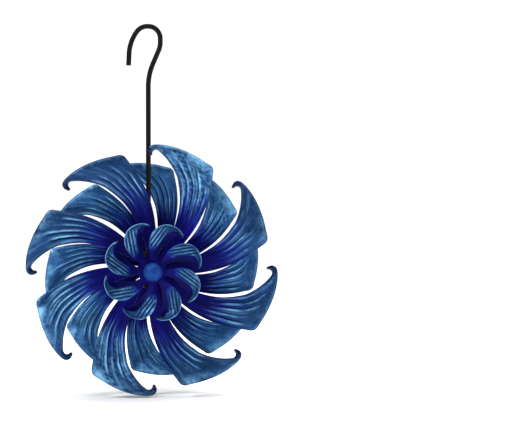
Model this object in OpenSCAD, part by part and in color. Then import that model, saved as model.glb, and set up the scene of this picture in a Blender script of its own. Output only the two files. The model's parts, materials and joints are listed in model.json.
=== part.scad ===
// Hanging wind spinner: two pressed-blade wheels, one each side of a hook rod, and a small flower in front.
// The origin is the inside top of the hook, where it hangs. +Z is up and the flower faces -Y.

/* [Wheels] */
// Diameter over the tips of the front wheel
wheel_d = 305; // [290:5:320]
// Rear wheel's size as a share of the front wheel's
rear_share = 0.87; // [0.82:0.02:0.9]
// Diameter over the flower's petals
flower_d = 118; // [110:2:122]
// Thickness of the pressed sheet
sheet_t = 0.8; // [0.6:0.1:1.2]

/* [Blade form] */
// How far a blade swells forward along its length
blade_swell = 5; // [3:0.5:6]
// How far a blade's middle stands in front of its edges
blade_camber = 4; // [2:0.5:4.5]
// How far each long edge twists out of the wheel's plane
blade_twist = 4; // [2:0.5:4.5]
// How far a petal's outer end cups forward
petal_cup = 6; // [3:0.5:8]
// How far each long edge of a petal twists
petal_twist = 7; // [4:0.5:8]

/* [Hook rod] */
// Diameter of the rod
rod_d = 6; // [5:0.5:6.5]
// Height of the hang point above the wheels' axis
hang_h = 293; // [250:2:340]
// How far the axle sits to the right of the rod
axle_side = 4.6; // [0:0.2:5]
// Radius of the hook's tight bend, at the rod's middle
hook_r = 14.6; // [12:0.2:18]

/* [Hub] */
// Diameter of the axle
axle_d = 6; // [5:0.5:6]
// Diameter of the domed nut in front
dome_d = 22.6; // [20:0.2:24]

/* [Hidden] */
$fn = 48;
count = 8;
pitch_deg = 360 / count;
axle_r = axle_d / 2;
rod_r = rod_d / 2;
slip = 0.05;
running = 0.08;
lap = 0.3;
bend_swell = 0.01;
end_play = 0.2;

// Cross fitting: a vertical tube that holds the rod, and a short tube for the axle
fitting_r = 6.5;
fitting_half_h = 22;
fitting_half_l = 6.8;
socket_depth = 14;
socket_r = rod_r + 0.1;
screw_r = 1.5;
screw_l = 4;
screw_up = 15;

// Stack along the axle, as distances in front of the rod's middle
nut_t = 2.8;
nut_af = 10;
washer_t = 1;
washer_r = 6;
hub_r = 7;
hub_in_r = 5;
flange_t = 1;
hub_l = 12;
nut_end = fitting_half_l + nut_t;
hub_start = nut_end + washer_t + end_play;
hub_end = hub_start + hub_l + 2 * flange_t;
outer_washer = hub_end + end_play;
plate_t = 1.2;
ring_t = 1;
plate_r = 18;
blade_plane = hub_start + flange_t + plate_t + sheet_t / 2;
rivet_r = 1.2;
rivet_head_r = 2.2;
rivet_head_t = 0.8;
rivet_circle = 13.5;
spacer_l = 14;
spacer_r = 4.5;
flower_start = outer_washer + washer_t + spacer_l + washer_t + end_play;
flower_hub_l = 8;
flower_hub_r = 6;
flower_in_r = 4.5;
flower_end = flower_start + flower_hub_l + 2 * flange_t;
flower_plane = flower_start + 3.5;
flower_plate_r = 15;
dome_start = flower_end + end_play + washer_t;
dome_cut = 3;
axle_front = dome_start + 7;
rear_nut_start = outer_washer + washer_t;
axle_rear = rear_nut_start + 7;

// A blade's two long edges from the hub to the hooked tip, as [degrees, share of the tip radius]
blade_outer_edge = [[-11, 0.059], [-9.4, 0.134], [-3.2, 0.378], [4.1, 0.63], [11.6, 0.86], [14.5, 0.94],
    [20, 0.958], [33, 0.99], [41, 1], [45.5, 0.992], [47, 0.955], [46.2, 0.912]];
blade_inner_edge = [[13, 0.059], [14, 0.134], [17.6, 0.362], [22, 0.551], [26, 0.665], [27.8, 0.709],
    [30.5, 0.776], [36.6, 0.878], [41.2, 0.943], [43.3, 0.96], [44.8, 0.945], [45.2, 0.915]];
blade_rows = 24;
// A petal's edges: the convex one leads anticlockwise and the tip hooks clockwise
petal_outer_edge = [[27, 0.15], [29, 0.25], [33, 0.4], [32, 0.57], [24.5, 0.8], [12, 0.97], [-1, 1.01],
    [-10, 0.99], [-16.5, 0.94]];
petal_inner_edge = [[4, 0.15], [8, 0.25], [7, 0.4], [0, 0.57], [-4, 0.74], [-6, 0.84], [-9.5, 0.905],
    [-13, 0.915], [-17, 0.915]];
petal_rows = 18;
columns = 4;
rear_turn = 19.1;
flower_turn = 20.6;

function number(prefix) = [for (i = [1:count]) str(prefix, i)];

// ---- Helpers ----

// Local frame of the wheels: x right and y up as seen from the front, z forward, on the axle's axis
module on_axle() {
    translate([axle_side, 0, -hang_h]) rotate([90, 0, 0]) children();
}

// The same stack behind the rod
module behind() {
    mirror([0, 0, 1]) children();
}

module ring(outer_r, inner_r, thickness) {
    difference() {
        cylinder(r = outer_r, h = thickness);
        translate([0, 0, -1]) cylinder(r = inner_r, h = thickness + 2);
    }
}

module hex_nut(thickness) {
    difference() {
        cylinder(r = nut_af / 2 / cos(30), h = thickness, $fn = 6);
        translate([0, 0, -1]) cylinder(r = axle_r + slip, h = thickness + 2);
    }
}

function smooth(t) = let(c = max(0, min(1, t))) c * c * (3 - 2 * c);

// Catmull-Rom curve through a list of points, with t counted in points
function curve(p, t) =
    let(i = min(floor(t), len(p) - 2), f = t - i, a = p[max(i - 1, 0)], b = p[i], c = p[i + 1],
        d = p[min(i + 2, len(p) - 1)])
    0.5 * (2 * b + (c - a) * f + (2 * a - 5 * b + 4 * c - d) * f * f + (3 * b - a - 3 * c + d) * f * f * f);

function polar(p, tip_r) = tip_r * p[1] * [cos(p[0]), sin(p[0])];

// Points across a pressed sheet: each row runs from the outer edge to the inner one
function sheet_point(outer, inner, tip_r, s, v) =
    let(t = s * (len(outer) - 1), a = polar(curve(outer, t), tip_r), b = polar(curve(inner, t), tip_r))
    a + (b - a) * v;

// Height of a blade in front of its flat root
function blade_height(s, v) =
    let(rise = smooth((s - 0.16) / 0.34), fall = smooth((s - 0.45) / 0.45))
    rise * (blade_swell * (1 - 1.3 * fall) + blade_camber * 4 * v * (1 - v) * (1 - 0.6 * fall)
        + blade_twist * (1 - 2 * v) * (1 - 0.5 * fall));

function petal_height(s, v) =
    let(rise = smooth((s - 0.12) / 0.55))
    rise * (petal_cup * s + petal_twist * (1 - 2 * v) - 3 * 4 * v * (1 - v) - 1.5);

// A closed sheet from a grid of rows and columns
module pressed_sheet(outer, inner, tip_r, rows, kind) {
    across = columns + 1;
    layer = (rows + 1) * across;
    points = [for (side = [-1, 1], i = [0:rows], j = [0:columns])
        let(s = i / rows, v = j / columns, p = sheet_point(outer, inner, tip_r, s, v),
            h = kind == "petal" ? petal_height(s, v) : blade_height(s, v) * tip_r / (wheel_d / 2))
        [p[0], p[1], h + side * sheet_t / 2]];
    cell = [for (i = [0:rows - 1], j = [0:columns - 1]) i * across + j];
    rim = concat([for (j = [0:columns - 1]) [j, j + 1]],
        [for (i = [0:rows - 1]) [i * across + columns, (i + 1) * across + columns]],
        [for (j = [columns:-1:1]) [rows * across + j, rows * across + j - 1]],
        [for (i = [rows:-1:1]) [i * across, (i - 1) * across]]);
    flip = kind == "petal";
    faces = concat(
        [for (c = cell) [c, c + 1, c + across + 1]],
        [for (c = cell) [c, c + across + 1, c + across]],
        [for (c = cell) [layer + c, layer + c + across + 1, layer + c + 1]],
        [for (c = cell) [layer + c, layer + c + across, layer + c + across + 1]],
        [for (e = rim) [e[0], layer + e[0], layer + e[1]]],
        [for (e = rim) [e[0], layer + e[1], e[1]]]);
    polyhedron(points, flip ? faces : [for (f = faces) [f[2], f[1], f[0]]]);
}

// ---- Fixed parts ----

// A round rod bent in the XZ plane: each move is [straight run, bend radius, bend towards +x in degrees].
// A bend is a hair fatter than the rod, so the straight runs end just inside it.
module bent_rod(moves, i = 0) {
    if (i < len(moves)) {
        run = moves[i][0];
        bend_r = moves[i][1];
        bend = moves[i][2];
        start_lap = i > 0 ? lap : 0;
        end_lap = bend != 0 ? lap : 0;
        translate([0, 0, -start_lap]) cylinder(r = rod_r, h = run + start_lap + end_lap);
        if (bend != 0) translate([0, 0, run]) {
            mirror([bend > 0 ? 1 : 0, 0, 0]) translate([-bend_r, 0, 0]) rotate([90, 0, 0])
                rotate_extrude(angle = abs(bend)) translate([bend_r, 0]) circle(r = rod_r + bend_swell);
            translate([sign(bend) * bend_r * (1 - cos(bend)), 0, bend_r * sin(abs(bend))])
                rotate([0, bend, 0]) bent_rod(moves, i + 1);
        }
    }
}

module hook_rod() {
    lean = 23;
    low_bend = 70;
    high_bend = 24;
    upright = 5;
    // The lean is as long as it takes to bring the hook's top back over the rod
    lean_run = (hook_r - (low_bend + high_bend) * (1 - cos(lean))) / sin(lean);
    climb = (low_bend + high_bend) * sin(lean) + lean_run * cos(lean) + upright + hook_r;
    foot = -hang_h + fitting_half_h - socket_depth;
    color("black") translate([0, 0, foot]) bent_rod([
        [rod_r - foot - climb, low_bend, lean],
        [lean_run, high_bend, -lean],
        [upright, hook_r, -90],
        [1, hook_r + 1.2, -55],
        [1, 48, -32],
        [15, 1, 0]]);
}

module cross_fitting() {
    color("dimgray") on_axle() difference() {
        union() {
            translate([-axle_side, 0, 0]) rotate([90, 0, 0])
                cylinder(r = fitting_r, h = 2 * fitting_half_h, center = true);
            cylinder(r = fitting_r, h = 2 * fitting_half_l, center = true);
        }
        cylinder(r = axle_r + slip, h = 4 * fitting_half_l, center = true);
        translate([-axle_side, fitting_half_h - socket_depth, 0]) rotate([-90, 0, 0])
            cylinder(r = rod_r + slip, h = socket_depth + 1);
        translate([-axle_side, -fitting_half_h - 1, 0]) rotate([-90, 0, 0])
            cylinder(r = socket_r, h = socket_depth + 1);
        for (up = [-1, 1]) translate([-axle_side, up * screw_up, 0]) rotate([0, 90, 0])
            cylinder(r = screw_r, h = fitting_r + 1);
    }
}

// A socket-head set screw pressing on the rod from the side
module set_screw(up, tip_x) {
    color("silver") on_axle() translate([tip_x - axle_side, up, 0]) rotate([0, 90, 0]) difference() {
        cylinder(r = screw_r - 0.02, h = screw_l);
        translate([0, 0, screw_l - 1.6]) cylinder(r = 0.87, h = 2, $fn = 6);
    }
}

module axle_rod() {
    color("silver") on_axle() translate([0, 0, -axle_rear]) cylinder(r = axle_r, h = axle_rear + axle_front);
}

module lock_nut() {
    color("silver") translate([0, 0, fitting_half_l]) hex_nut(nut_t);
}

module washer(start) {
    color("silver") translate([0, 0, start]) ring(washer_r, axle_r + slip, washer_t);
}

module flower_spacer() {
    color("silver") on_axle() translate([0, 0, outer_washer + washer_t]) ring(spacer_r, axle_r + slip, spacer_l);
}

module front_dome_nut() {
    dome_r = dome_d / 2;
    color("royalblue") on_axle() difference() {
        translate([0, 0, dome_start + dome_cut]) intersection() {
            sphere(r = dome_r);
            translate([0, 0, dome_r - dome_cut]) cube(2 * dome_r, center = true);
        }
        translate([0, 0, dome_start - 1]) cylinder(r = axle_r + slip, h = axle_front - dome_start + 1 + slip);
    }
}

module rear_cap_nut() {
    cap_r = 4.6;
    color("silver") on_axle() behind() translate([0, 0, rear_nut_start]) difference() {
        union() {
            cylinder(r = nut_af / 2 / cos(30), h = 5, $fn = 6);
            translate([0, 0, 5]) sphere(r = cap_r);
        }
        translate([0, 0, -1]) cylinder(r = axle_r + slip, h = axle_rear - rear_nut_start + 1 + slip);
    }
}

// ---- Turning parts ----

module hub_sleeve(start, length, outer_r, inner_r) {
    color("silver") translate([0, 0, start + flange_t]) ring(outer_r, inner_r, length);
}

// A flanged nylon bush, with its flange at z = 0 and its body going to +z
module flanged_bush(body_r, flange_r) {
    body_l = 3.5;
    color("white") difference() {
        union() {
            cylinder(r = flange_r, h = flange_t);
            cylinder(r = body_r, h = flange_t + body_l);
        }
        translate([0, 0, -1]) cylinder(r = axle_r + running, h = flange_t + body_l + 2);
    }
}

module inner_bush(start, body_r, flange_r) {
    translate([0, 0, start]) flanged_bush(body_r, flange_r);
}

module outer_bush(end, body_r, flange_r) {
    translate([0, 0, end]) mirror([0, 0, 1]) flanged_bush(body_r, flange_r);
}

// Places one piece in each blade's direction, on the rivets' circle
module at_rivets(turn) {
    for (i = [0:count - 1]) rotate(turn + i * pitch_deg) translate([rivet_circle, 0, 0]) children();
}

// A hub plate or clamp ring with its rivet holes; z is its back face
module riveted_ring(z, thickness, turn) {
    color("midnightblue") translate([0, 0, z]) difference() {
        ring(plate_r, hub_r, thickness);
        translate([0, 0, -1]) at_rivets(turn) cylinder(r = rivet_r, h = thickness + 2);
    }
}

module rivets(plate_z, turn) {
    stack = plate_t + sheet_t + ring_t;
    color("midnightblue") translate([0, 0, plate_z]) at_rivets(turn) {
        translate([0, 0, -rivet_head_t]) cylinder(r = rivet_head_r, h = rivet_head_t);
        cylinder(r = rivet_r, h = stack);
        translate([0, 0, stack]) cylinder(r = rivet_head_r, h = rivet_head_t);
    }
}

module blade(tip_r, turn, plane) {
    color("steelblue") rotate(turn) translate([0, 0, plane]) difference() {
        pressed_sheet(blade_outer_edge, blade_inner_edge, tip_r, blade_rows, "blade");
        translate([rivet_circle, 0, -sheet_t]) cylinder(r = rivet_r, h = 2 * sheet_t);
    }
}

module petal(turn) {
    color("royalblue") on_axle() translate([0, 0, flower_plane]) rotate(turn)
        pressed_sheet(petal_outer_edge, petal_inner_edge, flower_d / 2, petal_rows, "petal");
}

module flower_plate() {
    color("midnightblue") on_axle() translate([0, 0, flower_plane - sheet_t / 2 - plate_t])
        ring(flower_plate_r, flower_hub_r, plate_t);
}

front_plate_z = blade_plane - sheet_t / 2 - plate_t;
front_ring_z = blade_plane + sheet_t / 2;
rear_plane = -blade_plane;
rear_plate_z = rear_plane - sheet_t / 2 - plate_t;
rear_ring_z = rear_plane + sheet_t / 2;

hook_rod();
cross_fitting();
set_screw(screw_up, rod_r);  // upper_set_screw
set_screw(-screw_up, rod_r + 0.6);  // lower_set_screw
axle_rod();
on_axle() lock_nut();  // front_lock_nut
on_axle() behind() lock_nut();  // rear_lock_nut
on_axle() washer(nut_end);  // front_inner_washer
on_axle() washer(outer_washer);  // front_outer_washer
on_axle() behind() washer(nut_end);  // rear_inner_washer
on_axle() behind() washer(outer_washer);  // rear_outer_washer
flower_spacer();
on_axle() washer(flower_start - end_play - washer_t);  // flower_inner_washer
on_axle() washer(flower_end + end_play);  // flower_outer_washer
front_dome_nut();
rear_cap_nut();
on_axle() hub_sleeve(hub_start, hub_l, hub_r, hub_in_r);  // front_hub_sleeve
on_axle() inner_bush(hub_start, hub_in_r, hub_r);  // front_inner_bush
on_axle() outer_bush(hub_end, hub_in_r, hub_r);  // front_outer_bush
on_axle() riveted_ring(front_plate_z, plate_t, 0);  // front_hub_plate
on_axle() riveted_ring(front_ring_z, ring_t, 0);  // front_clamp_ring
on_axle() rivets(front_plate_z, 0);  // front_rivets
on_axle() behind() hub_sleeve(hub_start, hub_l, hub_r, hub_in_r);  // rear_hub_sleeve
on_axle() behind() inner_bush(hub_start, hub_in_r, hub_r);  // rear_inner_bush
on_axle() behind() outer_bush(hub_end, hub_in_r, hub_r);  // rear_outer_bush
on_axle() riveted_ring(rear_plate_z, plate_t, rear_turn);  // rear_hub_plate
on_axle() riveted_ring(rear_ring_z, ring_t, rear_turn);  // rear_clamp_ring
on_axle() rivets(rear_plate_z, rear_turn);  // rear_rivets
on_axle() hub_sleeve(flower_start, flower_hub_l, flower_hub_r, flower_in_r);  // flower_hub_sleeve
on_axle() inner_bush(flower_start, flower_in_r, flower_hub_r);  // flower_inner_bush
on_axle() outer_bush(flower_end, flower_in_r, flower_hub_r);  // flower_outer_bush
flower_plate();
for (i = [1:count]) {
    step = (i - 1) * pitch_deg;
    on_axle() blade(wheel_d / 2, step, blade_plane);
    on_axle() blade(wheel_d / 2 * rear_share, rear_turn + step, rear_plane);
    petal(flower_turn + step);
}
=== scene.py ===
import json
import math

import bpy
import numpy as np
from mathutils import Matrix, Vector


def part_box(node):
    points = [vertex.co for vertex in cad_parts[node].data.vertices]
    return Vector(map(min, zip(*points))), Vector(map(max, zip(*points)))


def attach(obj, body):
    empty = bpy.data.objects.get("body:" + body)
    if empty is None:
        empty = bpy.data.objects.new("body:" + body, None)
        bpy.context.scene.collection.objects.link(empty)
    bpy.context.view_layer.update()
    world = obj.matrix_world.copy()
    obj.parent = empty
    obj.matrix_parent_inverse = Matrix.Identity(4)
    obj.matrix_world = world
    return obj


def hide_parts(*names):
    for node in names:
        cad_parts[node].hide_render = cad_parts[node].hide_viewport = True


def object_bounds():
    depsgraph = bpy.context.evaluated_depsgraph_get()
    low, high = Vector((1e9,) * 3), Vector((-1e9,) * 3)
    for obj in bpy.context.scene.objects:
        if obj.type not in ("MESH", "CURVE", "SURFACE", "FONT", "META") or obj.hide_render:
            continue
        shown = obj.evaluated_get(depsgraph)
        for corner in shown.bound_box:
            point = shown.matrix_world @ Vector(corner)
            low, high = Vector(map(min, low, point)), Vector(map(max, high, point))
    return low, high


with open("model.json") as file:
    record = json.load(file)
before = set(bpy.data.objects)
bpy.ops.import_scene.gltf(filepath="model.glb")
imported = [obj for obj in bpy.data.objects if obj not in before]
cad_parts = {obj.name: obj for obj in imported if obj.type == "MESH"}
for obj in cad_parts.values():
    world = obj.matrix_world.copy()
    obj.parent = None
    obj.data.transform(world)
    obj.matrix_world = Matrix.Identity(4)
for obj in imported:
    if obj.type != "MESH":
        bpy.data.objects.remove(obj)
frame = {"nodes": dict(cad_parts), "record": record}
cad_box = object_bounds()
scene = bpy.context.scene

# ---- Sizes, in metres and degrees ----

COUNT = 8  # blades in each wheel, and petals in the flower
PITCH = 360 / COUNT
SHEET = 0.0008
REAR_TURN = 19.1
FLOWER_TURN = 20.6
INSIDE = 0.998  # the fine sheets' tip radius as a share of the CAD sheets'
PETAL_REACH = 1.01  # a petal's farthest point as a share of its tip radius
BLADE_GRID = (140, 90)  # steps along and across
PETAL_GRID = (72, 70)
SEED_STEP = 1.7  # from one blade's or petal's seed to the next one's

# Long edges from the hub to the hooked tip, as (degrees, share of the tip radius)
BLADE_OUTER = [(-11, 0.059), (-9.4, 0.134), (-3.2, 0.378), (4.1, 0.63), (11.6, 0.86), (14.5, 0.94),
               (20, 0.958), (33, 0.99), (41, 1), (45.5, 0.992), (47, 0.955), (46.2, 0.912)]
BLADE_INNER = [(13, 0.059), (14, 0.134), (17.6, 0.362), (22, 0.551), (26, 0.665), (27.8, 0.709),
               (30.5, 0.776), (36.6, 0.878), (41.2, 0.943), (43.3, 0.96), (44.8, 0.945), (45.2, 0.915)]
PETAL_OUTER = [(27, 0.15), (29, 0.25), (33, 0.4), (32, 0.57), (24.5, 0.8), (12, 0.97), (-1, 1.01),
               (-10, 0.99), (-16.5, 0.94)]
PETAL_INNER = [(4, 0.15), (8, 0.25), (7, 0.4), (0, 0.57), (-4, 0.74), (-6, 0.84), (-9.5, 0.905),
               (-13, 0.915), (-17, 0.915)]

# Forming of the sheet, as the CAD model has it
BLADE_SWELL, BLADE_CAMBER, BLADE_TWIST = 0.033, 0.026, 0.026  # shares of the tip radius
PETAL_CUP, PETAL_TWIST, PETAL_DISH, PETAL_SET = 0.006, 0.007, 0.003, 0.0015

# Pressed detail that the CAD model leaves out
VEINS = 5.4  # veins across a blade
VEIN_DEPTH = 0.0015
EDGE_DROP, EDGE_WIDTH = 0.0013, 0.003
PETAL_VEIN_PITCH = 0.066  # share of the tip radius
PETAL_VEIN_DEPTH = 0.0006
PETAL_VEIN_SLANT = math.radians(12)
# The rim band also takes painted highlights, and painted shade on blades with little pale paint
RIM_WIDTH = 0.014  # plain band outside the veins, dabbed with pale paint
WORN_AND_LIT_WIDTH = 0.005

# How much pale paint was dabbed on each blade by hand, from none (0) to plenty (1); it also sets each
# blade's painted highlights, and its painted shade where it is low
FRONT_DABS_AND_LIGHT = (0.2, 1.05, 0.05, 0.4, 0.8, 0.95, 0.45, 0.1)
REAR_DABS_AND_LIGHT = (1.0, 0.4, 0.4, 0.75, 0.75, 0.85, 0.35, 0.2)
PETAL_DABS = 0.5
# How much nearer to the hub the light paint starts on each blade, as a share of the tip radius; this is
# painted light, making the blades on the left lighter and those at the lower right darker
PALE_AND_LIGHT_IN = (-0.03, 0.02, 0.01, 0.04, 0.05, 0.01, -0.03, -0.04)

hub_lo, hub_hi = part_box("axle_rod")
HUB = Vector(((hub_lo.x + hub_hi.x) / 2, 0, (hub_lo.z + hub_hi.z) / 2))


def paint(red, green, blue):
    """A paint chip's screen values as the linear colour that a shader takes."""
    return tuple(((c / 255 + 0.055) / 1.055) ** 2.4 if c > 10 else c / 255 / 12.92
                 for c in (red, green, blue)) + (1.0,)


NAVY = paint(14, 5, 108)
ROYAL_BLUE = paint(12, 34, 126)
STEEL_BLUE = paint(31, 68, 116)
REAR_BLUE = paint(42, 92, 150)
PALE_BLUE = paint(130, 196, 240)
# The dark paint of the grooves, also used for painted shade
GROOVE_AND_SHADE_BLUE = paint(5, 10, 44)
PETAL_BLUE = paint(30, 74, 130)
DOME_BLUE = paint(26, 68, 142)
COAT_BLACK = paint(9, 7, 10)
ZINC = paint(186, 190, 196)
NYLON = paint(226, 224, 214)

# ---- Pressed sheet ----


def smooth(t):
    c = np.clip(t, 0, 1)
    return c * c * (3 - 2 * c)


def fade_in(value, start, length):
    """0 up to the start, 1 from a length past it, and smooth between."""
    return smooth((value - start) / length)


def fade_out(value, end, length):
    """1 up to a length before the end, 0 from the end on, and smooth between."""
    return smooth((end - value) / length)


def bump_at(value, centre, width):
    """A rounded bump, 1 at its centre."""
    return np.exp(-((value - centre) / width) ** 2)


def curve(points, t):
    """Catmull-Rom curve through the points, with t counted in points."""
    p = np.array(points, float)
    i = np.minimum(np.floor(t).astype(int), len(p) - 2)
    f = (t - i)[:, None]
    a, b, c, d = (p[np.clip(i + k, 0, len(p) - 1)] for k in (-1, 0, 1, 2))
    return 0.5 * (2 * b + (c - a) * f + (2 * a - 5 * b + 4 * c - d) * f ** 2
                  + (3 * b - a - 3 * c + d) * f ** 3)


def edge(points, tip_r, rows):
    """A long edge as x, y points, at rows + 1 even steps."""
    p = curve(points, np.linspace(0, len(points) - 1, rows + 1))
    angle = np.radians(p[:, 0])
    return tip_r * p[:, 1:2] * np.stack([np.cos(angle), np.sin(angle)], 1)


def flat_sheet(outer, inner, tip_r, rows, columns):
    """The sheet before forming: x and y of each grid point, its shares along and across, and how far it
    is from the nearer long edge."""
    a, b = edge(outer, tip_r, rows), edge(inner, tip_r, rows)
    s, v = np.meshgrid(np.linspace(0, 1, rows + 1), np.linspace(0, 1, columns + 1), indexing="ij")
    xy = a[:, None, :] + (b - a)[:, None, :] * v[..., None]
    to_side = np.minimum(v, 1 - v) * np.linalg.norm(b - a, axis=1)[:, None]
    return xy[..., 0], xy[..., 1], s, v, to_side


def angle_at(points, r):
    """The angle of an edge where it crosses each radius share, carried on past its corner."""
    p = np.array(points, float)
    return np.interp(r, p[:, 1], p[:, 0])


def blade_fan(x, y, tip_r):
    """Where a point lies across the fan of veins, from 0 on the corner's side to 1 on the hollow side,
    and how far it is from the outer rim."""
    r = np.hypot(x, y) / tip_r
    angle = np.degrees(np.arctan2(y, x))
    low = angle_at(BLADE_OUTER[:6] + [(18, 1.05)], r)
    high = angle_at(BLADE_INNER[:9] + [(48, 1.05)], r)
    rim = np.interp(angle, [p[0] for p in BLADE_OUTER[5:9]], [p[1] for p in BLADE_OUTER[5:9]])
    return (angle - low) / (high - low), (rim - r) * tip_r, r


def chance(number, seed):
    """An even spread of values from 0 to 1, one for each number and seed."""
    return np.modf(np.abs(np.sin(number * 12.9898 + seed * 78.233)) * 43.758)[0]


def veins(across):
    """Narrow pressed veins: which vein a point is nearest, the ridge along it, the groove at its foot, and
    the rounded sheet between veins."""
    place = across * VEINS
    f = place % 1
    rounded = np.abs(np.sin(np.pi * (f + 0.32)))
    return np.floor(place), bump_at(f, 0.42, 0.14), bump_at(f, 0.7, 0.11), rounded


def turned_edge(to_side):
    """1 at the very edge, where the sheet is turned back a little, and 0 inside."""
    return smooth(1 - to_side / EDGE_WIDTH)


def blade_swell(s, v, rise):
    """How far a plain blade stands forward, as a share of the tip radius."""
    fall = fade_in(s, 0.45, 0.45)
    return rise * (BLADE_SWELL * (1 - 1.3 * fall) + BLADE_CAMBER * 4 * v * (1 - v) * (1 - 0.6 * fall)
                   + BLADE_TWIST * (1 - 2 * v) * (1 - 0.5 * fall))


def vein_strength(number, r, v, to_rim, seed):
    """How deep each vein is pressed, from where it starts to where it ends short of the rim."""
    start = fade_in(r, 0.4 + 0.14 * chance(number, seed), 0.16)
    end = smooth((to_rim - RIM_WIDTH * (0.35 + 1.1 * chance(number, seed + 3))) / (0.8 * RIM_WIDTH))
    sides = smooth(v / 0.06) * smooth((1 - v) / 0.08)
    return start * end * sides * (0.4 + 0.6 * chance(number, seed + 7))


def worn_and_lit_edge(s, v, to_side):
    """Paint rubbed off a blade's long edges, more on the corner's side, and partly a painted highlight
    along them.
    """
    band = smooth(1 - to_side / WORN_AND_LIT_WIDTH)
    return band * fade_in(s, 0.32, 0.15) * fade_out(s, 0.9, 0.2) * np.where(v < 0.5, 0.3, 0.1)


def form_blade(x, y, s, v, to_side, tip_r, seed):
    """Height of a blade in front of its root, and the paint's guides."""
    across, to_rim, r = blade_fan(x, y, tip_r)
    rise = fade_in(s, 0.16, 0.34)
    lip = turned_edge(to_side) * rise
    wander = 0.02 * np.sin(9 * r + seed) + 0.012 * np.sin(23 * r + 2.3 * seed)
    number, ridge, groove, rounded = veins(across + 0.1 + wander)
    pressed = vein_strength(number, r, v, to_rim, seed)
    relief = (0.45 * ridge - 0.75 * groove + 0.5 * rounded - 0.5) * pressed
    height = tip_r * blade_swell(s, v, rise) + VEIN_DEPTH * relief - EDGE_DROP * lip
    rim = smooth(1 - to_rim / RIM_WIDTH) * fade_in(r, 0.7, 0.15) * fade_out(s, 0.7, 0.2) \
        * fade_in(across, -0.02, 0.16)
    return height, {
        "share": r,
        "stroke": (across + wander) * VEINS + 3.1 * seed,
        # Dark in the grooves: partly paint left there, partly painted shade
        "groove": groove * pressed,
        # Pale on the ridges and along the worn edges: partly paint, partly a painted highlight
        "rib_and_highlight": np.maximum(ridge * pressed, worn_and_lit_edge(s, v, to_side)),
        "rim": rim,
        # Painted shade along the turned edge
        "lip": lip,
        "tip": fade_in(s, 0.62, 0.34),
    }


def form_petal(x, y, s, v, to_side, tip_r, seed):
    """Height of a petal in front of its root, and the paint's guides."""
    rise = fade_in(s, 0.12, 0.55)
    place = (x * math.sin(PETAL_VEIN_SLANT) + y * math.cos(PETAL_VEIN_SLANT)) / tip_r / PETAL_VEIN_PITCH \
        + 0.3 * np.sin(seed)
    number, f = np.floor(place), place % 1
    groove = bump_at(f, 0.5, 0.23)
    start = fade_in(s, 0.22 + 0.1 * chance(number, seed), 0.12)
    end = fade_out(s, 0.66 + 0.1 * chance(number, seed + 2), 0.12)
    pressed = start * end * fade_out(v, 0.74, 0.16) * fade_in(v, 0.03, 0.05)
    height = rise * (PETAL_CUP * s + PETAL_TWIST * (1 - 2 * v) - PETAL_DISH * 4 * v * (1 - v) - PETAL_SET) \
        - PETAL_VEIN_DEPTH * groove * pressed
    # Painted shade in the petal's hollow, darkened like the grooves
    hollow = fade_in(v, 0.5, 0.5) * fade_out(s, 0.75, 0.3)
    # Painted highlight: a pale line along the petal's raised edge
    lit_rim = smooth(1 - v / 0.08) * fade_in(s, 0.4, 0.15)
    return height, {
        "share": fade_in(s, 0.2, 0.3) * fade_out(v, 0.76, 0.2),
        "stroke": v * 9 + 3.1 * seed,
        # The grooves' dark paint, with painted shade added in the petal's hollow
        "groove": np.maximum(groove * pressed, 0.8 * hollow),
        "rib_and_highlight": np.maximum(0.75 * bump_at(f, 0.02, 0.2) * pressed, 0.55 * lit_rim),
        "rim": 0 * v,
        # Painted shade along the petal's turned edge
        "lip": 0.5 * turned_edge(to_side) * rise * fade_in(v, 0.5, 0.2),
        "tip": fade_in(s, 0.9, 0.1),
    }


def sheet_normals(p):
    along, across = np.gradient(p, axis=0), np.gradient(p, axis=1)
    n = np.cross(along, across)
    n /= np.linalg.norm(n, axis=2, keepdims=True) + 1e-12
    return n * np.where(n[..., 2:] < 0, -1, 1)


def grid_border(ids):
    """The grid's border points in order, and for each the point just inside it."""
    border = np.concatenate([ids[0, :-1], ids[:-1, -1], ids[-1, :0:-1], ids[:0:-1, 0]])
    inside = np.concatenate([ids[1, :-1], ids[:-1, -2], ids[-2, :0:-1], ids[:0:-1, 1]])
    return border, inside


def sheet_points(mid, border, inside):
    """Points of the front, the back and the lip that rounds the edge between them."""
    n = sheet_normals(mid)
    flat = mid.reshape(-1, 3)
    out = flat[border] - flat[inside]
    out /= np.linalg.norm(out, axis=1, keepdims=True) + 1e-12
    lip = flat[border] + out * SHEET * 0.3
    return np.concatenate([(mid + n * SHEET / 2).reshape(-1, 3), (mid - n * SHEET / 2).reshape(-1, 3), lip])


def sheet_faces(ids, border):
    """Faces of the front and the back, and two strips that meet along the lip."""
    quads = np.stack([ids[:-1, :-1], ids[:-1, 1:], ids[1:, 1:], ids[1:, :-1]], 2).reshape(-1, 4)
    size, k = ids.size, np.arange(len(border))
    following, lip, lip_following = np.roll(border, -1), 2 * size + k, 2 * size + np.roll(k, -1)
    return np.concatenate([quads, quads[:, ::-1] + size,
                           np.stack([border, lip, lip_following, following], 1),
                           np.stack([lip, border + size, following + size, lip_following], 1)])


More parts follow.
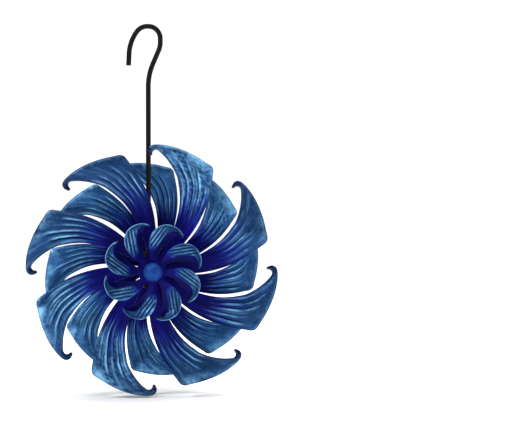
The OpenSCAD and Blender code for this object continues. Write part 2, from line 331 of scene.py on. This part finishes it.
def sheet_mesh(name, x, y, height, guides, turn, depth):
    """A closed sheet of even thickness with a rounded edge, turned about the axle, which runs along Y."""
    a = math.radians(turn)
    turned_x, turned_y = x * math.cos(a) - y * math.sin(a), x * math.sin(a) + y * math.cos(a)
    ids = np.arange(x.size).reshape(x.shape)
    border, inside = grid_border(ids)
    local = sheet_points(np.stack([turned_x, turned_y, height + depth], 2), border, inside)
    points = np.stack([local[:, 0] + HUB.x, -local[:, 2], local[:, 1] + HUB.z], 1)
    faces = sheet_faces(ids, border)
    first = points[faces[0]]
    if np.cross(first[1] - first[0], first[2] - first[0])[1] > 0:
        faces = faces[:, ::-1]
    mesh = bpy.data.meshes.new(name)
    mesh.from_pydata(points.tolist(), [], faces.tolist())
    mesh.polygons.foreach_set("use_smooth", [True] * len(mesh.polygons))
    for guide, values in guides.items():
        flat = values.ravel()
        layer = mesh.attributes.new(guide, "FLOAT", "POINT")
        layer.data.foreach_set("value", np.concatenate([flat, flat, flat[border]]).astype(np.float32))
    return mesh


def reach(node):
    """How far a CAD node goes from the axle's axis."""
    return max(math.hypot(v.co.x - HUB.x, v.co.z - HUB.z) for v in frame["nodes"][node].data.vertices)


def face_of(plate):
    """How far in front of the rod a hub plate's front face is."""
    return -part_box(plate)[0].y


def sheet_piece(node, body, grid, form, turn, plate, material, seed, dabs_and_light, pale_and_light_in=0.0):
    """One fine sheet in place of a CAD node's plain one, on the front face of its hub plate."""
    height, guides = form(*grid, seed)
    # Painted light: the pale paint starts nearer the hub on the blades painted as lit, and farther out on
    # those painted as shaded
    guides["share"] = guides["share"] + pale_and_light_in
    # The sheet's share of pale paint, which also sets its painted highlights and painted shade
    guides["dabs_and_light"] = np.full_like(height, dabs_and_light)
    x, y = grid[:2]
    mesh = sheet_mesh(node + "_pressed", x, y, height, guides, turn, face_of(plate) + SHEET / 2)
    piece = bpy.data.objects.new(node + "_pressed", mesh)
    scene.collection.objects.link(piece)
    piece.data.materials.append(material)
    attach(piece, body)
    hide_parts(node)


def make_wheel(word, turn, material, dabs_and_light):
    tip_r = reach(word + "_blade_1") * INSIDE
    grid = flat_sheet(BLADE_OUTER, BLADE_INNER, tip_r, *BLADE_GRID) + (tip_r,)
    for k in range(COUNT):
        sheet_piece(f"{word}_blade_{k + 1}", word + "_wheel", grid, form_blade, turn + k * PITCH,
                    word + "_hub_plate", material, k * SEED_STEP, dabs_and_light[k], PALE_AND_LIGHT_IN[k])


def make_flower(material):
    tip_r = reach("flower_petal_1") / PETAL_REACH * INSIDE
    grid = flat_sheet(PETAL_OUTER, PETAL_INNER, tip_r, *PETAL_GRID) + (tip_r,)
    for k in range(COUNT):
        sheet_piece(f"flower_petal_{k + 1}", "flower", grid, form_petal,
                    FLOWER_TURN + k * PITCH, "flower_plate", material, k * SEED_STEP, PETAL_DABS)


# ---- Shader helpers ----


def add(tree, kind, inputs=None, **settings):
    """A node with its settings and its inputs, each a value or a socket to link from."""
    n = tree.nodes.new("ShaderNode" + kind)
    for key, value in settings.items():
        setattr(n, key, value)
    for key, value in (inputs or {}).items():
        if isinstance(value, bpy.types.NodeSocket):
            tree.links.new(value, n.inputs[key])
        else:
            n.inputs[key].default_value = value
    return n


def math_node(tree, operation, a, b=0.0, clamp=False):
    return add(tree, "Math", {0: a, 1: b}, operation=operation, use_clamp=clamp).outputs[0]


def mix_colour(tree, factor, a, b, blend="MIX"):
    n = add(tree, "Mix", {0: factor, 6: a, 7: b}, data_type="RGBA", blend_type=blend)
    return n.outputs[2]


def ramp(tree, value, low, high, to_low=0.0, to_high=1.0):
    n = add(tree, "MapRange", {"Value": value, "From Min": low, "From Max": high, "To Min": to_low,
                               "To Max": to_high}, interpolation_type="SMOOTHSTEP")
    return n.outputs[0]


def noise(tree, where, scale, detail=2.0, rough=0.5):
    return add(tree, "TexNoise", {"Vector": where, "Scale": scale, "Detail": detail, "Roughness": rough}
               ).outputs[0]


def new_group(name, inputs, outputs):
    """A shader node group with named sockets; each input is (name, kind, value)."""
    tree = bpy.data.node_groups.new(name, "ShaderNodeTree")
    for label, kind, value in inputs:
        socket = tree.interface.new_socket(label, in_out="INPUT", socket_type="NodeSocket" + kind)
        if value is not None:
            socket.default_value = value
    for label, kind in outputs:
        tree.interface.new_socket(label, in_out="OUTPUT", socket_type="NodeSocket" + kind)
    return tree, tree.nodes.new("NodeGroupInput").outputs, tree.nodes.new("NodeGroupOutput").inputs


def times(tree, *values):
    product = values[0]
    for value in values[1:]:
        product = math_node(tree, "MULTIPLY", product, value)
    return product


def least(tree, a, b):
    return math_node(tree, "MINIMUM", a, b)


def most(tree, a, b):
    return math_node(tree, "MAXIMUM", a, b)


SURFACE = [("Color", "Color"), ("Roughness", "Float"), ("Height", "Float")]
PAINT_INPUTS = [
    ("Share", "Float", 1.0), ("Stroke", "Float", 0.0), ("Groove_and_shade", "Float", 0.0), ("Rib_and_highlight", "Float", 0.0),
    ("Rim", "Float", 0.0), ("Lip", "Float", 0.0), ("Tip", "Float", 0.0), ("Dabs_and_light", "Float", 0.5),
    ("Deep", "Color", NAVY), ("Middle", "Color", ROYAL_BLUE), ("Body", "Color", STEEL_BLUE),
    ("Pale", "Color", PALE_BLUE), ("Dark", "Color", GROOVE_AND_SHADE_BLUE), ("From", "Float", 0.5),
    ("To", "Float", 0.75), ("Dull", "Float", 0.3)]


def paint_textures(tree, given):
    """Brush strokes and hammered rows that follow the sheet, and clouds, patches, stipple and grain that
    don't."""
    where = add(tree, "TexCoord").outputs["Object"]

    def along(strokes, rows):
        return add(tree, "CombineXYZ", {0: times(tree, given["Stroke"], strokes),
                                        1: times(tree, given["Share"], rows), 2: 0.0}).outputs[0]

    return {
        "brush": noise(tree, along(1.9, 3.5), 1.0, 3.0),
        "ripple": noise(tree, along(1.5, 42.0), 1.0, 1.0),
        "cloud": noise(tree, where, 45.0, 3.0),
        "patch": noise(tree, where, 75.0),
        "stipple": noise(tree, where, 360.0, 2.0, 0.55),
        "grain": noise(tree, where, 1500.0, 1.0),
    }


def base_coat(tree, given, share, brush):
    """Deep paint by the hub, the middle paint next, and the body paint from there out, all in uneven
    strokes; and a mask of how far out of the deep paint a point is."""
    far = ramp(tree, share, given["From"], given["To"])
    near = ramp(tree, share, math_node(tree, "SUBTRACT", given["From"], 0.06),
                math_node(tree, "ADD", given["From"], 0.1))
    deep = mix_colour(tree, ramp(tree, brush, 0.62, 0.35, 0.0, 0.75), given["Deep"], given["Dark"])
    coat = mix_colour(tree, far, mix_colour(tree, near, deep, given["Middle"]), given["Body"])
    # Painted shade: a blade with little pale paint is darkened all over
    coat = mix_colour(tree, ramp(tree, given["Dabs_and_light"], 0.0, 1.2, 0.3, 0.0), coat, given["Dark"])
    thin = times(tree, far, ramp(tree, brush, 0.3, 0.5, 0.25, 0.0))
    return mix_colour(tree, thin, coat, given["Dark"]), far


def pale_strokes_and_highlights(tree, given, coat, share, far, seen):
    """Pale paint dragged along the sheet, and caught on the ribs and worn edges; on the ribs, the edges and
    the petals' lit rims it is partly a painted highlight.
    """
    brushed = times(tree, far, ramp(tree, seen["brush"], 0.5, 0.75),
                    ramp(tree, given["Dabs_and_light"], -0.3, 1.3, 0.05, 0.42))
    coat = mix_colour(tree, brushed, coat, given["Pale"])
    # Partly a painted highlight: pale on the ribs, the worn edges and the petals' lit rims
    lined = times(tree, given["Rib_and_highlight"], ramp(tree, share, 0.45, 0.72, 0.12, 1.0),
                  ramp(tree, seen["cloud"], 0.35, 0.65, 0.15, 1.0),
                  ramp(tree, given["Dabs_and_light"], -0.4, 0.8, 0.4, 1.1),
                  ramp(tree, given["Dabs_and_light"], 0.6, 1.1, 1.0, 1.35))
    return mix_colour(tree, least(tree, lined, 0.9), coat, given["Pale"])


def hammered_rows(tree, given, coat, hammered, ripple):
    """Pale paint on top of each hammered row, and dark paint between rows, partly a painted highlight and
    painted shade of the rows' relief.
    """
    raised = times(tree, hammered, ramp(tree, ripple, 0.48, 0.62, 0.0, 0.2))
    coat = mix_colour(tree, raised, coat, given["Pale"])
    sunk = times(tree, hammered, ramp(tree, ripple, 0.5, 0.38, 0.0, 0.24))
    return mix_colour(tree, sunk, coat, given["Dark"])


def rim_paint_and_light(tree, given, coat, far, seen):
    """Dark specks in the stipple, pale paint on the rim of a well painted blade, partly a painted
    highlight, and painted shade on the rim of a blade with little pale paint."""
    # Painted shade on the rim of a blade with little pale paint
    painted_rim_shade = times(tree, given["Rim"], ramp(tree, given["Dabs_and_light"], 0.0, 1.0, 0.4, 0.0))
    coat = mix_colour(tree, painted_rim_shade, coat, given["Dark"])
    specks = times(tree, far, ramp(tree, seen["stipple"], 0.52, 0.36, 0.0, 0.22))
    coat = mix_colour(tree, specks, coat, given["Dark"])
    # Pale paint on the rim, partly a painted highlight
    dabs_and_highlight = times(tree, given["Rim"], given["Dabs_and_light"], ramp(tree, seen["patch"], 0.38, 0.62, 0.0, 1.25),
                   ramp(tree, seen["stipple"], 0.35, 0.6, 0.6, 1.0))
    return mix_colour(tree, least(tree, dabs_and_highlight, 0.85), coat, given["Pale"])


def low_spots_and_shade(tree, given, coat):
    """Darker in the grooves, partly dark paint left there and partly painted shade; painted shade in the
    petals' hollows and along the turned edges; and darker on the tips.
    """
    low = times(tree, least(tree, given["Groove_and_shade"], 1.0), ramp(tree, given["Dabs_and_light"], 0.0, 1.2, 0.8, 1.0))
    # Painted shade along the turned edges
    low = most(tree, low, times(tree, given["Lip"], 0.5))
    low = most(tree, low, times(tree, given["Tip"], 0.8))
    return mix_colour(tree, low, coat, given["Dark"])


def paint_relief(tree, given, hammered, seen):
    """Stipple that grows toward the rim, with fine grain and the hammered rows."""
    stipple = times(tree, seen["stipple"], ramp(tree, given["Share"], 0.45, 0.95, 0.1, 0.6))
    rows = times(tree, hammered, seen["ripple"], 0.8)
    return math_node(tree, "ADD", stipple, math_node(tree, "ADD", times(tree, seen["grain"], 0.12), rows))


def brushed_paint_and_light_group():
    """Dark paint, with lighter paint brushed along the veins and laid in patches on the rim, on hammered
    sheet; painted highlights and painted shade are mixed in with the pale and dark paint.
    """
    tree, given, out = new_group("brushed_paint_and_light", PAINT_INPUTS, SURFACE)
    seen = paint_textures(tree, given)
    share = math_node(tree, "ADD", given["Share"], ramp(tree, seen["brush"], 0.25, 0.75, -0.11, 0.11))
    coat, far = base_coat(tree, given, share, seen["brush"])
    coat = pale_strokes_and_highlights(tree, given, coat, share, far, seen)
    hammered = times(tree, far, ramp(tree, given["Dabs_and_light"], 0.65, 1.15))
    coat = hammered_rows(tree, given, coat, hammered, seen["ripple"])
    coat = rim_paint_and_light(tree, given, coat, far, seen)
    tree.links.new(low_spots_and_shade(tree, given, coat), out["Color"])
    dull = math_node(tree, "ADD", given["Dull"], ramp(tree, seen["stipple"], 0.3, 0.7, 0.0, 0.16))
    tree.links.new(dull, out["Roughness"])
    tree.links.new(paint_relief(tree, given, hammered, seen), out["Height"])
    return tree


def powder_group():
    """The fine orange peel and cloudy sheen of powder coat."""
    tree, given, out = new_group("powder_coat", [("Colour", "Color", COAT_BLACK)], SURFACE)
    where = add(tree, "TexCoord").outputs["Object"]
    peel = noise(tree, where, 1100.0, 2.0)
    cloud = noise(tree, where, 60.0, 2.0)
    lighter = mix_colour(tree, 1.0, given["Colour"], (1.5, 1.5, 1.55, 1), "MULTIPLY")
    tree.links.new(mix_colour(tree, ramp(tree, cloud, 0.3, 0.7), given["Colour"], lighter), out["Color"])
    tree.links.new(ramp(tree, cloud, 0.3, 0.7, 0.46, 0.58), out["Roughness"])
    tree.links.new(peel, out["Height"])
    return tree


def turned_group():
    """Fine lathe marks round the axle, and small handling marks."""
    tree, given, out = new_group("turned_metal", [("Colour", "Color", ZINC)], SURFACE)
    where = add(tree, "TexCoord").outputs["Object"]
    stretched = add(tree, "Mapping", {"Vector": where, "Scale": (40.0, 1800.0, 40.0)}).outputs[0]
    lines = noise(tree, stretched, 1.0, 2.0)
    marks = noise(tree, where, 300.0, 3.0)
    dull = mix_colour(tree, 1.0, given["Colour"], (0.7, 0.7, 0.72, 1), "MULTIPLY")
    tree.links.new(mix_colour(tree, ramp(tree, marks, 0.45, 0.75), given["Colour"], dull), out["Color"])
    tree.links.new(ramp(tree, lines, 0.3, 0.7, 0.22, 0.4), out["Roughness"])
    tree.links.new(lines, out["Height"])
    return tree


GROUPS = {"brushed_paint_and_light": brushed_paint_and_light_group(), "powder_coat": powder_group(),
          "turned_metal": turned_group()}


def new_material(name, group, values, bump, distance, shader):
    """A material whose colour, roughness and relief come from a group, and the rest from the shader. A text
    among the group's values is a guide on the mesh, and the bump's distance is how deep the relief is."""
    material = bpy.data.materials.new(name)
    material.use_nodes = True
    tree = material.node_tree
    tree.nodes.clear()
    effect = add(tree, "Group", node_tree=GROUPS[group])
    for key, value in values.items():
        if isinstance(value, str):
            tree.links.new(add(tree, "Attribute", attribute_name=value).outputs["Fac"], effect.inputs[key])
        else:
            effect.inputs[key].default_value = value
    relief = add(tree, "Bump", {"Height": effect.outputs["Height"], "Strength": bump, "Distance": distance})
    surface = add(tree, "BsdfPrincipled", {"Base Color": effect.outputs["Color"],
                                           "Roughness": effect.outputs["Roughness"],
                                           "Normal": relief.outputs[0], **shader})
    output = add(tree, "OutputMaterial")
    tree.links.new(surface.outputs[0], output.inputs["Surface"])
    return material


SHEET_GUIDES = {"Share": "share", "Stroke": "stroke", "Groove_and_shade": "groove", "Rib_and_highlight": "rib_and_highlight", "Rim": "rim",
                "Lip": "lip", "Tip": "tip", "Dabs_and_light": "dabs_and_light"}
PAINTED = {"Metallic": 0.5, "Specular IOR Level": 0.08}


def blade_paint(name, body, start, end):
    values = {**SHEET_GUIDES, "Body": body, "From": start, "To": end}
    return new_material(name, "brushed_paint_and_light", values, bump=0.7, distance=0.0011, shader=PAINTED)


def petal_paint():
    values = {**SHEET_GUIDES, "Body": PETAL_BLUE, "From": 0.25, "To": 0.9}
    return new_material("petal_paint", "brushed_paint_and_light", values, bump=0.25, distance=0.0004, shader=PAINTED)


def plain_paint(name, colour, pale):
    values = {"Share": 1.0, "Body": colour, "Pale": pale, "Dull": 0.42}
    return new_material(name, "brushed_paint_and_light", values, bump=0.8, distance=0.0008, shader=PAINTED)


def finish_cad_nodes():
    """Gives every CAD node that still shows its finish."""
    finishes = {
        "black_coat": new_material("black_powder_coat", "powder_coat", {}, bump=0.2, distance=0.0002,
                                   shader={"Specular IOR Level": 0.1}),
        "hub_navy": plain_paint("hub_paint", NAVY, STEEL_BLUE),
        "dome_blue": plain_paint("dome_paint", DOME_BLUE, PALE_BLUE),
        "zinc_steel": new_material("zinc_plate", "turned_metal", {}, bump=0.15, distance=0.0001,
                                   shader={"Metallic": 1.0}),
        "nylon": new_material("natural_nylon", "powder_coat", {"Colour": NYLON}, bump=0.1, distance=0.0001,
                              shader={"Specular IOR Level": 0.4}),
    }
    for part in frame["record"]["subparts"]:
        finish = finishes.get(part["material_slot"])
        node = frame["nodes"][part["node"]]
        if finish:
            node.data.materials.clear()
            node.data.materials.append(finish)


# ---- Studio ----


CAMERA_LEFT, CAMERA_ABOVE = math.radians(0.8), math.radians(3)
CAMERA_DISTANCE = 2.0
CAMERA_AIM = HUB + Vector((0.1317, 0, 0.0719))
LENS = 113.3  # millimetres, with a 36 mm sensor
FLOOR_HALF = 6.0
FLOOR_GAP = 0.002
SHADOW_LEFT = 0.035  # from the hub to the middle of the shaded floor
SHADOW_CORE, SHADOW_REACH = 0.04, 0.21  # the floor fades to white between these


def make_camera():
    """Almost straight on, a little left of the axle and above it, and aimed up and right of the hub."""
    level = math.cos(CAMERA_ABOVE)
    away = Vector((-math.sin(CAMERA_LEFT) * level, -math.cos(CAMERA_LEFT) * level, math.sin(CAMERA_ABOVE)))
    camera = bpy.data.objects.new("camera", bpy.data.cameras.new("camera"))
    scene.collection.objects.link(camera)
    camera.data.lens = LENS
    camera.data.sensor_width = 36
    camera.location = HUB + away * CAMERA_DISTANCE
    camera.rotation_mode = "QUATERNION"
    camera.rotation_quaternion = (CAMERA_AIM - camera.location).to_track_quat("-Z", "Y")
    scene.camera = camera


def floor_finish():
    """White, and a little lit from within away from the object, so that it fades into the room."""
    material = bpy.data.materials.new("floor_white")
    material.use_nodes = True
    tree = material.node_tree
    shader = tree.nodes["Principled BSDF"]
    shader.inputs["Base Color"].default_value = (0.9, 0.9, 0.9, 1)
    shader.inputs["Roughness"].default_value = 0.9
    shader.inputs["Specular IOR Level"].default_value = 0.0
    shader.inputs["Emission Strength"].default_value = 1.0
    where = add(tree, "VectorMath", {0: add(tree, "TexCoord").outputs["Object"], 1: (SHADOW_LEFT, 0, 0)},
                operation="ADD").outputs["Vector"]
    away = add(tree, "VectorMath", {0: where}, operation="LENGTH").outputs["Value"]
    tree.links.new(ramp(tree, away, SHADOW_CORE, SHADOW_REACH, 0.0, 0.95), shader.inputs["Emission Color"])
    return material


def make_floor():
    half = FLOOR_HALF
    corners = [(-half, -half, 0), (half, -half, 0), (half, half, 0), (-half, half, 0)]
    mesh = bpy.data.meshes.new("floor")
    mesh.from_pydata(corners, [], [(0, 1, 2, 3)])
    floor = bpy.data.objects.new("floor", mesh)
    scene.collection.objects.link(floor)
    floor.location = (HUB.x, 0, cad_box[0].z - FLOOR_GAP)
    floor.data.materials.append(floor_finish())


def soft_light(name, place, power, size):
    """A square soft box at a place given from the hub, turned to it."""
    data = bpy.data.lights.new(name, "AREA")
    data.energy = power
    data.size = size
    lamp = bpy.data.objects.new(name, data)
    scene.collection.objects.link(lamp)
    lamp.location = HUB + Vector(place)
    lamp.rotation_mode = "QUATERNION"
    lamp.rotation_quaternion = (-Vector(place)).to_track_quat("-Z", "Y")


def make_light():
    """A white room as the camera sees it, a dim one as the object does, and three soft boxes."""
    world = bpy.data.worlds.new("studio")
    world.use_nodes = True
    tree = world.node_tree
    tree.nodes.clear()
    seen = add(tree, "Background", {"Color": (1, 1, 1, 1), "Strength": 1.1})
    fill = add(tree, "Background", {"Color": (0.92, 0.96, 1, 1), "Strength": 0.18})
    choice = add(tree, "MixShader", {0: add(tree, "LightPath").outputs["Is Camera Ray"],
                                     1: fill.outputs[0], 2: seen.outputs[0]})
    tree.links.new(choice.outputs[0], add(tree, "OutputWorld").inputs["Surface"])
    scene.world = world
    soft_light("key_light", (-1.3, -0.8, 1.4), 30, 0.4)
    soft_light("side_light", (1.5, -0.9, 0.3), 9, 0.4)
    soft_light("top_light", (0.15, 0.0, 1.7), 25, 1.4)


scene.view_settings.view_transform = "Standard"
make_camera()
make_floor()
make_light()
front_paint = blade_paint("front_blade_paint", STEEL_BLUE, 0.54, 0.8)
rear_paint = blade_paint("rear_blade_paint", REAR_BLUE, 0.52, 0.74)
make_wheel("front", 0, front_paint, FRONT_DABS_AND_LIGHT)
make_wheel("rear", REAR_TURN, rear_paint, REAR_DABS_AND_LIGHT)
make_flower(petal_paint())
finish_cad_nodes()
